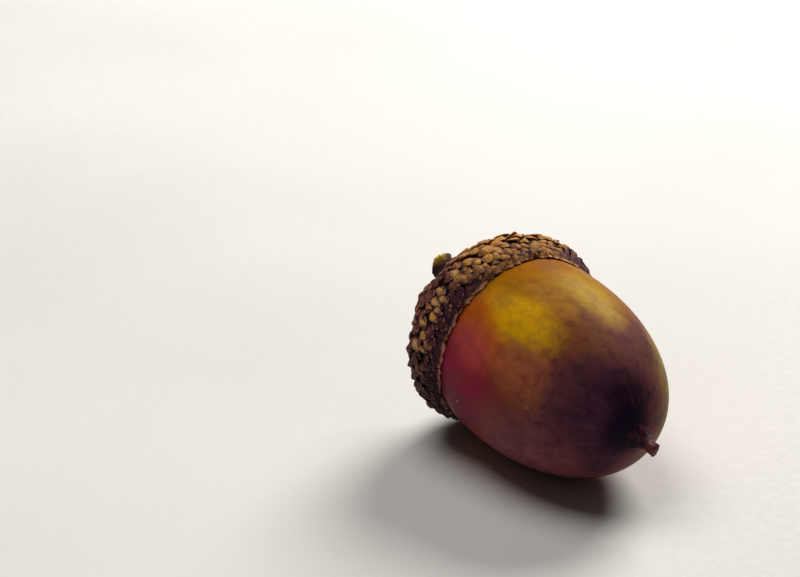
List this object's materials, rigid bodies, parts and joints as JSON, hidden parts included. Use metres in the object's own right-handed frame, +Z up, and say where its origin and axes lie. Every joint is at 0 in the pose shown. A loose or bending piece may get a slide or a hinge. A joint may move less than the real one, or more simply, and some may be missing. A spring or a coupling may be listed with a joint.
{
  "type": "acorn",
  "caption": "Acorn lying on its side: a smooth oval nut with a dried tip, seated in a bowl-shaped cup of overlapping scales with a stub of stalk.",
  "frame": {"origin": "middle of the small flat spot under the nut's belly, on the surface that the acorn lies on", "axes": "+X level, over the acorn's own axis from the stalk to the nut's tip; +Z up"},
  "size_m": [0.0371, 0.0227, 0.0223],
  "materials": {
    "nut_shell": "smooth waxy shell with a satin gloss, gold and orange-brown running to crimson and dark purple-brown",
    "cup_scales": "dry, matt and rough, purple-brown with tan raised backs"
  },
  "bodies": {
    "root": {"nut": "nut_shell", "cup": "cup_scales"}
  },
  "joints": []
}
